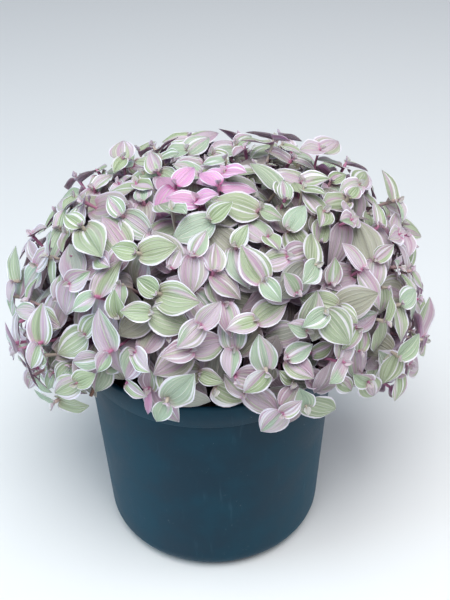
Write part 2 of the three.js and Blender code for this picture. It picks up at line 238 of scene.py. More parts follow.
def make_stem(i):
    share = (i + 0.5) / STEM_COUNT
    turn = i * GOLDEN_ANGLE + spread(i, 1, 1, STEM_STRAY)
    way = mound_way(share, turn)
    fork = mound_point(way, FORK_DEPTH + spread(i, 2, 1, FORK_STRAY))
    lean = -math.pi / 2 + (math.asin(way.z) - math.asin(LOWEST_HEIGHT)) * LEAN_SPAN
    flat = math.cos(lean)
    arrive = Vector((flat * math.cos(turn), flat * math.sin(turn), math.sin(lean)))
    root_radius = ROOT_CIRCLE * math.sqrt(share)
    root = Vector((root_radius * math.cos(turn), root_radius * math.sin(turn), 0))
    root.z = soil_height(root.x, root.y) - ROOT_DEPTH
    climb = root + Vector((0, 0, FIRST_CLIMB + OUTER_CLIMB * share))
    reach = fork - arrive * (FORK_REACH + OUTER_REACH * share * share)
    points = bezier_points((root, climb, reach, fork), STEM_STEPS)
    stem = {"index": i, "way": way, "points": points, "fork": fork, "arrive": arrive, "shoots": []}
    for k in range(SHOOTS_PER_STEM):
        stem["shoots"].append(make_shoot(stem, k))
    return stem


def facing(way, scatter):
    """The way that a shoot faces at a place on the mound."""
    lean = LEAN_SHARE + HIGHER_LEAN * way.z + BACK_LEAN * max(0, way.y)
    return (way + LIGHT_LEAN * min(1, max(LEAST_LEAN, lean)) + scatter).normalized()


def make_shoot(stem, k):
    i = stem["index"]
    east, north = square_to(stem["way"])
    turn = (k / SHOOTS_PER_STEM) * 2 * math.pi + 2 * math.pi * draw(i, 3, 7)
    offset = (SHOOT_SPREAD + spread(i, k, 11, SPREAD_STRAY)) / mound_radius(stem["way"])
    aside = east * (offset * math.cos(turn))
    way = (stem["way"] + aside + north * (offset * math.sin(turn))).normalized()
    tip = mound_point(way, TIP_DEPTH + spread(i, k, 13, TIP_STRAY))
    scatter = Vector((spread(i, k, 17, FACING_STRAY), spread(i, k, 19, FACING_STRAY), 0))
    before = stem["points"][STEM_STEPS - 1]
    start = stem["fork"].lerp(before, k * SHOOT_BACK / (stem["fork"] - before).length)
    arrival = tip - facing(way, scatter) * SHOOT_ARRIVAL
    corners = (start, start + stem["arrive"] * SHOOT_START, arrival, tip)
    return {
        "stem": stem,
        "index": k,
        "points": bezier_points(corners, SHOOT_STEPS),
        "turn": 2 * math.pi * draw(i, k, 23),
    }


def place_from_tip(points, distance):
    """The place at a distance back from a shoot's tip, and the way that the shoot runs there."""
    left = distance
    for k in range(len(points) - 1, 0, -1):
        axis = points[k] - points[k - 1]
        run = axis.length
        axis = axis / run
        if left <= run or k == 1:
            return points[k] - axis * left, axis
        left -= run


def leaf_pose(shoot, j, bend):
    """Where a shoot's leaf j stands, which way it points and faces, and its size, bent in one of the ways."""
    size, rise, turn = bend
    i, k = shoot["stem"]["index"], shoot["index"]
    base, axis = place_from_tip(shoot["points"], LEAF_NODES[j])
    first, second = square_to(axis)
    around = shoot["turn"] + j * LEAF_TURN + spread(i, j, 29 + k, LEAF_TURN_STRAY) + turn
    up = LEAF_RISE[j] + spread(i, j, 37 + k, LEAF_RISE_STRAY) + rise
    outward = first * math.cos(around) + second * math.sin(around)
    along = outward * math.cos(up) + axis * math.sin(up)
    face = axis * math.cos(up) - outward * math.sin(up)
    length = LEAF_LENGTHS[j] * (1 + spread(i, j, 41 + k, LEAF_LENGTH_STRAY)) * size
    return {
        "base": base,
        "along": along,
        "face": face,
        "side": along.cross(face),
        "length": length,
        "half": length * LEAF_WIDTHS[j] / 2,
        "j": j,
        "shoot": shoot,
    }


def blade_point(pose, v, w, lift):
    """A point at v of a blade's length and w of its half width, lifted off its middle surface."""
    bend = LEAF_RECURVE * v
    along = pose["length"] * math.sin(bend) / LEAF_RECURVE
    drop = pose["length"] * (1 - math.cos(bend)) / LEAF_RECURVE
    across = w * pose["half"]
    lifted = LEAF_FOLD * abs(across) - drop + lift
    return pose["base"] + pose["along"] * along + pose["side"] * across + pose["face"] * lifted


# Which way of bending each of the model's leaves took, read from its tip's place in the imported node


def bends():
    for size in BEND_SIZES:
        for rise in BEND_RISES:
            for turn in BEND_TURNS:
                yield size, rise, turn


def corner_tree(node):
    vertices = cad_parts[node].data.vertices
    tree = KDTree(len(vertices))
    for index, vertex in enumerate(vertices):
        tree.insert(vertex.co / MM, index)
    tree.balance()
    return tree


def model_leaves(stem, tree):
    found = []
    for shoot in stem["shoots"]:
        for j in range(MODEL_LEAVES):
            for bend in bends():
                pose = leaf_pose(shoot, j, bend)
                if tree.find(blade_point(pose, 1, 0, 0))[2] < MATCH_DISTANCE:
                    found.append(pose)
                    break
    return found


def node_name(stem):
    return "stem_%02d" % (stem["index"] + 1)


stems = [make_stem(i) for i in range(STEM_COUNT)]
poses = []
for stem in stems:
    poses += model_leaves(stem, corner_tree(node_name(stem)))


# Shoots that fill the gaps between the model's own, each grown from the nearest stem


def fill_ways():
    """The ways to the places furthest from every shoot's tip, one after another."""
    shares = [(n + 0.5) / FILL_CANDIDATES for n in range(FILL_CANDIDATES)]
    ways = [mound_way(share, n * GOLDEN_ANGLE) for n, share in enumerate(shares)]
    places = np.array([mound_point(way, TIP_DEPTH) for way in ways])
    tips = np.array([shoot["points"][-1] for stem in stems for shoot in stem["shoots"]])
    nearest = np.linalg.norm(places[:, None] - tips[None], axis=2).min(axis=1)
    chosen = []
    while len(chosen) < FILL_COUNT and nearest.max() > FILL_SPACING:
        n = int(nearest.argmax())
        chosen.append(ways[n])
        nearest = np.minimum(nearest, np.linalg.norm(places - places[n], axis=1))
    return chosen


def grown_shoot(tip, axis, turn):
    """A shoot to a given tip from the stem whose fork is nearest to it."""
    stem = min(stems, key=lambda s: (s["fork"] - tip).length)
    k = len(stem["shoots"])
    before = stem["points"][STEM_STEPS - 1]
    back = min(1, SHOOT_BACK * (k - 1) / (stem["fork"] - before).length)
    start = stem["fork"].lerp(before, back)
    corners = (start, start + stem["arrive"] * SHOOT_START, tip - axis * SHOOT_ARRIVAL, tip)
    shoot = {"stem": stem, "index": k, "points": bezier_points(corners, FILL_STEPS), "turn": turn}
    stem["shoots"].append(shoot)
    return shoot


def outstanding_shoot(tip, axis, aim):
    tip, axis, aim = Vector(tip), Vector(axis).normalized(), Vector(aim)
    first, second = square_to(axis)
    return grown_shoot(tip, axis, math.atan2(aim.dot(second), aim.dot(first)) - 2 * LEAF_TURN)


def fill_shoot(way, n):
    tip = mound_point(way, FILL_DEPTH + spread(n, 51, 3, FILL_STRAY))
    scatter = Vector((spread(n, 53, 3, FACING_STRAY), spread(n, 57, 3, FACING_STRAY), 0))
    return grown_shoot(tip, facing(way, scatter), 2 * math.pi * draw(n, 59, 5))


# Leaves that grow only here, each bent clear of the leaves already placed

# The outline of a blade as the clearance test takes it: shares of its length and of its half width
OUTLINE = [(0, 0), (0.15, 0.6), (0.44, 1), (0.78, 0.64), (1, 0), (0.78, -0.64), (0.44, -1), (0.15, -0.6)]

# The rib above that outline and the keel below it, how far along each is and how high or deep
RIB_PLACE = 0.42
RIB_HEIGHT = 0.1
KEEL_PLACE = 0.13
KEEL_DEPTH = 0.6

# A blade's reach from its middle, as a share of its length, and how much further others are looked for
SHELL_REACH = 0.56
NEIGHBOUR_MARGIN = 4

# How far a leaf keeps from the pot's rim and wall and from the compost
RIM_CLEARANCE = 1
WALL_CLEARANCE = 4
COMPOST_CLEARANCE = 5


def blade_shell(pose):
    corners = [blade_point(pose, v, w, 0) for v, w in OUTLINE]
    corners.append(blade_point(pose, RIB_PLACE, 0, RIB_HEIGHT))
    corners.append(blade_point(pose, KEEL_PLACE, 0, -KEEL_DEPTH))
    n = len(OUTLINE)
    sides = [(c, (c + 1) % n) for c in range(n)]
    triangles = [(a, b, n) for a, b in sides] + [(b, a, n + 1) for a, b in sides]
    return {
        "tree": BVHTree.FromPolygons(corners, triangles),
        "middle": (corners[0] + corners[n // 2]) / 2,
        "reach": pose["length"] * SHELL_REACH,
        "shoot": pose["shoot"],
    }


def clear_of_pot(pose):
    for v, w in OUTLINE:
        x, y, z = blade_point(pose, v, w, 0)
        r = math.hypot(x, y)
        near_pot = r > WAIST_RADIUS - WALL_CLEARANCE or z < SOIL_TOP + COMPOST_CLEARANCE
        if near_pot and z < POT_HEIGHT + RIM_CLEARANCE and r < RIM_RADIUS + RIM_CLEARANCE:
            return False
    return True


def grow(shoot, j, shells):
    """The first way of bending a leaf that keeps it clear of the pot and of every other shoot's leaves."""
    middles = np.array([shell["middle"] for shell in shells])
    for bend in bends():
        pose = leaf_pose(shoot, j, bend)
        if not clear_of_pot(pose):
            continue
        shell = blade_shell(pose)
        away = np.linalg.norm(middles - np.array(shell["middle"]), axis=1)
        near = np.nonzero(away < 2 * shell["reach"] + NEIGHBOUR_MARGIN)[0]
        others = [shells[n] for n in near if shells[n]["shoot"] is not shoot]
        if any(other["tree"].overlap(shell["tree"]) for other in others):
            continue
        shells.append(shell)
        return pose
    return None


def extra_leaves():
    shells = [blade_shell(pose) for pose in poses]
    own = [shoot for stem in stems for shoot in stem["shoots"]]
    filled = [outstanding_shoot(*given) for given in OUTSTANDING]
    filled += [fill_shoot(way, n) for n, way in enumerate(fill_ways())]
    grown = []
    for j in range(len(LEAF_NODES)):
        for shoot in filled + (own if j >= MODEL_LEAVES else []):
            grown.append(grow(shoot, j, shells))
    return [pose for pose in grown if pose]


# Fine blades: every leaf is one closed shell with a rounded keel, a wavy edge and a clasping base

# From the youngest leaf to the oldest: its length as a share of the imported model's, its breadth as a share
# of its own length, and how far its sides fold up
FINE_LENGTHS = [0.35, 0.74, 0.82, 0.85, 0.86, 0.86]
FINE_WIDTHS = [0.8, 0.74, 0.78, 0.78, 0.77, 0.75]
FINE_FOLDS = [1.2, 0.4, 0.24, 0.18, 0.16, 0.14]

# How far a fine leaf strays from the rule, either way
LENGTH_STRAY = 0.1
RECURVE_STRAY = 0.14
FOLD_STRAY = 0.1
SKEW_STRAY = 0.1
TWIST_STRAY = 0.22

# Where a blade's points lie along it and across it
ROWS = np.array([0, 0.04, 0.11, 0.2, 0.31, 0.43, 0.56, 0.69, 0.82, 0.93, 1])
COLUMNS = np.array([-1, -0.86, -0.6, -0.28, 0, 0.28, 0.6, 0.86, 1])

# Its outline: the widest place, what is left of the width at its ends, and how full and sharp each end is
WIDEST = 0.4
CLASP_WIDTH = 0.42
POINT_WIDTH = 0.02
TIP_FULLNESS = 1.9
TIP_SHARPNESS = 1.08
HEEL_FULLNESS = 2.2
HEEL_SHARPNESS = 0.7

# Its section: thickest at the keel, with sides that droop and an edge that waves
BLADE_THICKNESS = 0.75
EDGE_FULLNESS = 2.5
HEEL_FILLING = 0.04
KEEL_ROUNDING = 0.6
CLASP_CUP = 0.8
CLASP_LENGTH = 0.09
SIDE_DROOP = 0.14
DROOP_STRAY = 0.1
WAVE_HEIGHT = 0.4
LEAST_WAVE = 0.4
WAVE_COUNT = 1.3
WAVE_SHIFT = 1.3


def withered_leaf():
    """A rolled pink leaf that hangs from the stalk nearest to its place."""
    shoots = [shoot for stem in stems for shoot in stem["shoots"]]
    stalks = [(shoot, point) for shoot in shoots for point in shoot["points"][1:]]
    shoot, base = min(stalks, key=lambda stalk: (stalk[1] - WITHERED_PLACE).length)
    side = Vector((1, 0, 0)).cross(WITHERED_WAY).cross(WITHERED_WAY).normalized()
    return {
        "base": base,
        "along": WITHERED_WAY,
        "face": side.cross(WITHERED_WAY),
        "side": side,
        "length": WITHERED_LENGTH / FINE_LENGTHS[0],
        "breadth": WITHERED_BREADTH,
        "j": 0,
        "shoot": shoot,
        "age": WITHERED_AGE,
    }


poses += extra_leaves()
poses.append(withered_leaf())


def half_width(v):
    """The blade's half width along its length, as a share of the widest."""
    above = np.clip((v - WIDEST) / (1 - WIDEST), 0, 1)
    below = np.clip((WIDEST - v) / WIDEST, 0, 1)
    tip = POINT_WIDTH + (1 - POINT_WIDTH) * (1 - above**TIP_FULLNESS) ** TIP_SHARPNESS
    heel = CLASP_WIDTH + (1 - CLASP_WIDTH) * (1 - below**HEEL_FULLNESS) ** HEEL_SHARPNESS
    return np.where(v > WIDEST, tip, heel)


def blade_faces():
    """Quads of one blade's shell. Its upper and lower grids share their border."""
    rows, columns = len(ROWS), len(COLUMNS)
    upper = np.arange(rows * columns).reshape(rows, columns)
    lower = upper.copy()
    inner = (rows - 2) * (columns - 2)
    lower[1:-1, 1:-1] = rows * columns + np.arange(inner).reshape(rows - 2, columns - 2)
    quads = []
    for grid, flip in ((upper, False), (lower, True)):
        a, b = grid[:-1, :-1].ravel(), grid[:-1, 1:].ravel()
        c, d = grid[1:, 1:].ravel(), grid[1:, :-1].ravel()
        quads.append(np.stack([a, d, c, b] if flip else [a, b, c, d], axis=1))
    return np.concatenate(quads)


def blade_vertices(pose):
    """The shell's points, upper grid first and then the inside of the lower one."""
    i, k, j = pose["shoot"]["stem"]["index"], pose["shoot"]["index"], pose["j"]
    seed = 100 * i + 10 * k + j
    v, w = np.meshgrid(ROWS, COLUMNS, indexing="ij")
    length = pose["length"] * FINE_LENGTHS[j] * (1 + spread(seed, 109, 3, LENGTH_STRAY))
    half = length * pose.get("breadth", FINE_WIDTHS[j]) / 2
    recurve = LEAF_RECURVE + spread(seed, 71, 3, RECURVE_STRAY)
    fold = FINE_FOLDS[j] + spread(seed, 73, 3, FOLD_STRAY)
    skew = 1 + spread(seed, 79, 3, SKEW_STRAY) * np.sign(w)
    across = w * half * half_width(v) * skew
    along = length * np.sin(recurve * v) / recurve
    drop = length * (1 - np.cos(recurve * v)) / recurve
    cup = fold + CLASP_CUP * np.exp(-v / CLASP_LENGTH)
    lift = cup * (np.sqrt(across**2 + KEEL_ROUNDING**2) - KEEL_ROUNDING)
    lift -= (SIDE_DROOP + spread(seed, 83, 3, DROOP_STRAY)) * across**2 / half
    wave = np.sin(2 * np.pi * (WAVE_COUNT * v + draw(seed, 89, 3)) + WAVE_SHIFT * np.sign(w))
    height = WAVE_HEIGHT * (LEAST_WAVE + draw(seed, 97, 3))
    lift += height * wave * np.abs(w) ** 3 * np.sin(np.pi * v)
    twist = spread(seed, 101, 3, TWIST_STRAY) * v
    side_way = across * np.cos(twist) - lift * np.sin(twist)
    up_way = across * np.sin(twist) + lift * np.cos(twist) - drop
    base, forth, side, face = (np.array(pose[key]) for key in ("base", "along", "side", "face"))
    upper = base + along[..., None] * forth + side_way[..., None] * side + up_way[..., None] * face
    belly = np.sqrt(np.clip(np.sin(np.pi * np.minimum(v + HEEL_FILLING, 1)), 0, 1))
    thick = BLADE_THICKNESS * (1 - np.abs(w) ** EDGE_FULLNESS) * belly
    lower = upper - thick[..., None] * face
    return np.concatenate([upper.reshape(-1, 3), lower[1:-1, 1:-1].reshape(-1, 3)])


def blade_coordinates():
    v, w = np.meshgrid(ROWS, COLUMNS, indexing="ij")
    flat = np.stack([(w + 1) / 2, v], axis=2)
    return np.concatenate([flat.reshape(-1, 2), flat[1:-1, 1:-1].reshape(-1, 2)])


# Fine stems: round tubes with closed ends, swollen where a leaf clasps them

STEM_SIDES = 8
STEM_PITCH = 2.2
OLD_RADIUS = 1.2
SHOOT_RADIUS = 1.0
YOUNG_RADIUS = 0.45

# How far from its tip a stem has its full radius, and what is left of the radius at the tip
AGEING_RUN = 60
TIP_TAPER = 0.3

# How much and how far a stem swells, a little behind the place of each leaf
SWELLING = 0.28
SWELLING_LENGTH = 1.1
SWELLING_BACK = 0.4


def smooth_route(points):
    """Points at an even pitch on a smooth curve through the given ones."""
    samples = []
    for k in range(len(points) - 1):
        a, b = points[k], points[k + 1]
        before = points[k - 1] if k else a * 2 - b
        after = points[k + 2] if k + 2 < len(points) else b * 2 - a
        steps = max(2, round((b - a).length / STEM_PITCH))
        for step in range(steps):
            t = step / steps
            one, two = (b - before) / 2, (after - a) / 2
            samples.append(
                a * (2 * t**3 - 3 * t**2 + 1)
                + one * (t**3 - 2 * t**2 + t)
                + b * (3 * t**2 - 2 * t**3)
                + two * (t**3 - t**2)
            )
    return np.array(samples + [points[-1]])


def tube_radii(route, old, nodes):
    """A radius at each point of a route, thinner to its tip and swollen at the places of its leaves."""
    runs = np.linalg.norm(np.diff(route, axis=0), axis=1)
    to_tip = np.concatenate([np.cumsum(runs[::-1])[::-1], [0]])
    radii = YOUNG_RADIUS + (old - YOUNG_RADIUS) * np.clip(to_tip / AGEING_RUN, 0, 1)
    for node in nodes:
        radii = radii + SWELLING * np.exp(-(((to_tip - node - SWELLING_BACK) / SWELLING_LENGTH) ** 2))
    radii[-1] *= TIP_TAPER
    return radii


def tube_mesh(route, radii):
    """Points and faces of a round tube with closed ends."""
    tangents = np.gradient(route, axis=0)
    tangents /= np.linalg.norm(tangents, axis=1)[:, None]
    normal = np.array(square_to(Vector(tangents[0]))[0])
    angles = np.arange(STEM_SIDES) * 2 * np.pi / STEM_SIDES
    cosines, sines = np.cos(angles)[:, None], np.sin(angles)[:, None]
    rings = []
    for place, tangent, radius in zip(route, tangents, radii):
        normal = normal - tangent * np.dot(normal, tangent)
        normal /= np.linalg.norm(normal)
        rings.append(place + radius * (cosines * normal + sines * np.cross(tangent, normal)))
    faces = []
    for r in range(len(route) - 1):
        for s in range(STEM_SIDES):
            t = (s + 1) % STEM_SIDES
            a, b = r * STEM_SIDES, (r + 1) * STEM_SIDES
            faces.append((a + s, a + t, b + t, b + s))
    last = (len(route) - 1) * STEM_SIDES
    faces.append(tuple(range(STEM_SIDES))[::-1])
    faces.append(tuple(range(last, last + STEM_SIDES)))
    return np.concatenate(rings), faces


def tube_coordinates(route):
    uv = np.zeros((len(route) * STEM_SIDES, 2))
    uv[:, 1] = np.repeat(np.linspace(0, 1, len(route)), STEM_SIDES)
    uv[:, 0] = np.tile(np.arange(STEM_SIDES) / STEM_SIDES, len(route))
    return uv


old_stalk_stem = min(stems, key=lambda s: (s["fork"] - OLD_STALK[0]).length)


# Meshes from points and faces

BLADE = 0
TUBE = 1
BLADE_FACES = blade_faces()
BLADE_UV = blade_coordinates()
STEM_CREASE = math.radians(75)

# Where the brightest pink shoots are
PINKEST_PLACE = Vector((-7, -8, 184))
PINKEST_REACH = 17
BRIGHTEST = 1.4

# What a leaf's pink is made up of: a drift over the mound, its shoot's own draw and its own, less on top
DRIFT_SHARE = 0.3
SHOOT_SHARE = 0.5
LEAF_SHARE = 0.2
DRIFT_WAVES = (0.045, 0.05, 0.02)
DRIFT_SHIFTS = (1.3, 0.4)
TOP_FADE = 0.09
TOP_START = 160
TOP_RUN = 20

# How old stems look, from 0 to 1, and the draw that the dry stalk takes
SHOOT_AGE = 0.5
STALK_AGE = 1
STALK_SEED = 0.5


def new_object(name, points, faces):
    mesh = bpy.data.meshes.new(name)
    mesh.from_pydata([tuple(p) for p in points * MM], [], [tuple(f) for f in faces])
    mesh.shade_smooth()
    made = bpy.data.objects.new(name, mesh)
    bpy.context.scene.collection.objects.link(made)
    return made


def pink_drift(place):
    """How much pink gathers about a place on the mound, from 0 to 1."""
    x, y, z = place
    across, along, up = DRIFT_WAVES
    first, second = DRIFT_SHIFTS
    return 0.5 + 0.5 * math.sin(across * x + first) * math.cos(along * y + second + up * z)


def leaf_tone(pose):
    """How pink a leaf is: each shoot has its own tone, and pink shoots gather in places, least on top."""
    i, k, j = pose["shoot"]["stem"]["index"], pose["shoot"]["index"], pose["j"]
    if "age" in pose or (pose["base"] - PINKEST_PLACE).length < PINKEST_REACH:
        return BRIGHTEST
    tone = DRIFT_SHARE * pink_drift(pose["base"])
    tone += SHOOT_SHARE * draw(i, k, 61)
    tone += LEAF_SHARE * draw(i, 10 * k + j, 67)
    tone -= TOP_FADE * min(1, max(0, (pose["base"].z - TOP_START) / TOP_RUN))
    return min(1, tone)


class FineMesh:
    """A stem node's mesh while it grows: its tubes and blades, and what their colours are worked out from."""

    def __init__(self):
        self.points, self.faces, self.coordinates, self.kinds = [], [], [], []
        self.marks = {"tone": [], "seed": [], "age": [], "under": []}
        self.count = 0

    def add(self, kind, points, faces, coordinates, under, **marks):
        self.points.append(points)
        self.faces += [tuple(corner + self.count for corner in face) for face in faces]
        self.coordinates.append(coordinates)
        self.kinds += [kind] * len(faces)
        self.marks["under"] += under
        for name, value in marks.items():
            self.marks[name] += [value] * len(faces)
        self.count += len(points)

    def add_tube(self, route, radii, **marks):
        points, faces = tube_mesh(route, radii)
        self.add(TUBE, points, faces, tube_coordinates(route), [0] * len(faces), **marks)

    def add_blade(self, pose):
        i, k, j = pose["shoot"]["stem"]["index"], pose["shoot"]["index"], pose["j"]
        half = len(BLADE_FACES) // 2
        under = [0] * half + [1] * half
        seed = draw(i, 10 * k + j, 107)
        age = pose.get("age", j / (len(LEAF_NODES) - 1))
        points = blade_vertices(pose)
        self.add(BLADE, points, BLADE_FACES, BLADE_UV, under, tone=leaf_tone(pose), seed=seed, age=age)

    def build(self, name):
        made = new_object(name, np.concatenate(self.points), self.faces)
        mesh = made.data
        corners = np.zeros(len(mesh.loops), np.int32)
        mesh.loops.foreach_get("vertex_index", corners)
        layer = mesh.uv_layers.new(name="blade")
        layer.data.foreach_set("uv", np.concatenate(self.coordinates)[corners].astype(np.float32).ravel())
        for label, values in self.marks.items():
            layer = mesh.attributes.new(label, "FLOAT", "FACE")
            layer.data.foreach_set("value", np.asarray(values, np.float32))
        mesh.polygons.foreach_set("material_index", np.array(self.kinds, np.int32))
        mesh.set_sharp_from_angle(angle=STEM_CREASE)
        return made


def dress_stem(stem):
    """One stem node's fine mesh: its tubes, then its blades."""
    i = stem["index"]
    own = [pose for pose in poses if pose["shoot"]["stem"] is stem]
    fine = FineMesh()
    for k, shoot in enumerate(stem["shoots"]):
        route = smooth_route(shoot["points"] if k else stem["points"] + shoot["points"][1:])
        nodes = [LEAF_NODES[pose["j"]] for pose in own if pose["shoot"] is shoot]
        radii = tube_radii(route, SHOOT_RADIUS if k else OLD_RADIUS, nodes)
        fine.add_tube(route, radii, tone=draw(i, k, 61), seed=draw(i, k, 103), age=SHOOT_AGE)
    if stem is old_stalk_stem:
        route = smooth_route([stem["points"][-2], stem["fork"], *OLD_STALK])
        radii = np.full(len(route), OLD_STALK_RADIUS)
        fine.add_tube(route, radii, tone=0, seed=STALK_SEED, age=STALK_AGE)
    for pose in own:
        fine.add_blade(pose)
    return fine.build(node_name(stem) + "_leafy")


# Materials

# The colour sockets of a mix node: its two inputs and its result
FIRST_COLOUR = 6
SECOND_COLOUR = 7
MIXED_COLOUR = 2


class Nodes:
    """A short way to write a material's node tree."""

    def __init__(self, name):
        self.material = bpy.data.materials.new(name)
        self.material.use_nodes = True
        self.tree = self.material.node_tree
        self.shader = self.tree.nodes["Principled BSDF"]

    def put(self, kind, inputs=(), **settings):
        node = self.tree.nodes.new("ShaderNode" + kind)
        for key, value in settings.items():
            setattr(node, key, value)
        for socket, value in dict(inputs).items():
            self.set(node.inputs[socket], value)
        return node

    def set(self, socket, value):
        if isinstance(value, bpy.types.NodeSocket):
            self.tree.links.new(value, socket)
        else:
            socket.default_value = value

    def math(self, operation, a, b=0.0, c=0.0):
        return self.put("Math", {0: a, 1: b, 2: c}, operation=operation).outputs[0]

    def times(self, value, size):
        return self.math("MULTIPLY", value, size)

    def line(self, value, slope, start):
        """A value times a slope, plus a start."""
        return self.math("MULTIPLY_ADD", value, slope, start)

    def ramp(self, value, low, high, start=0.0, end=1.0):
        """A smooth step: start below low, end above high."""
        inputs = {"Value": value, "From Min": low, "From Max": high, "To Min": start, "To Max": end}
        return self.put("MapRange", inputs, interpolation_type="SMOOTHSTEP").outputs[0]

    def mix(self, share, one, other):
        inputs = {"Factor": share, FIRST_COLOUR: one, SECOND_COLOUR: other}
        return self.put("Mix", inputs, data_type="RGBA").outputs[MIXED_COLOUR]

    def noise(self, where, scale=1.0, detail=0.0, rough=0.5):
        inputs = {"Vector": where, "Scale": scale, "Detail": detail, "Roughness": rough}
        return self.put("TexNoise", inputs).outputs["Fac"]

    def place(self, x, y, z=0.0):
        return self.put("CombineXYZ", {0: x, 1: y, 2: z}).outputs[0]

    def vector(self, operation, one, other):
        return self.put("VectorMath", {0: one, 1: other}, operation=operation).outputs[0]

    def blade_place(self):
        """Where a point is on its leaf or stem: how far across or around it, and how far along it."""
        uv = self.put("SeparateXYZ", {0: self.put("UVMap", uv_map="blade").outputs[0]})
        return uv.outputs[0], uv.outputs[1]

    def value(self, name):
        return self.put("Attribute", attribute_name=name).outputs["Fac"]

    def bump(self, height, distance):
        inputs = {"Height": height, "Distance": distance, "Strength": 1.0}
        self.set(self.shader.inputs["Normal"], self.put("Bump", inputs).outputs[0])


def colour(red, green, blue):
    """A colour as seen on a screen, from 0 to 255, in the linear light that shaders take."""
    shares = (c / 255 for c in (red, green, blue))
    return (*(c / 12.92 if c <= 0.04045 else ((c + 0.055) / 1.055) ** 2.4 for c in shares), 1)


# Leaf colours
SAGE = colour(162, 176, 140)
COOL_SAGE = colour(160, 180, 158)
DEEP_SAGE = colour(128, 144, 106)
CREAM = colour(212, 214, 196)
BLUSH = colour(197, 177, 190)
ROSE = colour(179, 143, 165)
BRIGHT_PINK = colour(226, 150, 206)
PALE_EDGE = colour(242, 236, 244)
MAGENTA = colour(200, 84, 150)
LILAC = colour(198, 178, 200)
PURPLE = colour(162, 112, 154)
# Dull mauve: stripes on the undersides; on older, lower leaves' faces it is partly dulling and partly painted
# shade
DUSKY_MAUVE_AND_SHADE = colour(146, 124, 132)
YOUNG = colour(216, 198, 206)

# Stem colours
MAUVE_SKIN = colour(150, 104, 122)
TAN_SKIN = colour(172, 142, 140)
PLUM_SKIN = colour(158, 84, 118)
PALE_SHOOT = colour(178, 168, 150)
PINK_SHOOT = colour(182, 112, 146)
ROOT_BROWN = colour(120, 104, 84)
DRY_BROWN = colour(132, 92, 72)

# Pot, compost and floor colours
PETROL = colour(4, 41, 57)
LIGHT_PETROL = colour(9, 53, 69)
SCUFF = colour(60, 92, 108)
DUST = colour(164, 176, 180)
BLUE_SHEEN = colour(130, 208, 245)
PEAT = colour(34, 26, 20)
BARK = colour(74, 58, 44)
# Painted shade for the gaps between the compost's crumbs
CRUMB_GAP_PAINTED_SHADE = colour(24, 18, 15)
FLOOR_GREY = colour(226, 226, 224)

# The wave that draws a leaf's fine lines, in radians: over half its width, how far it strays, and its shift
LINE_WAVE = 24
LINE_STRAY = 3
LINE_SHIFT = 6.0

# How much further a leaf's own draw moves its stripes' noise in depth than across
STRIPE_DEPTH = 3.7

# Heights of the bumps, in metres
SKIN_BUMP = 0.0002
PLASTIC_BUMP = 0.00006
COMPOST_BUMP = 0.0012


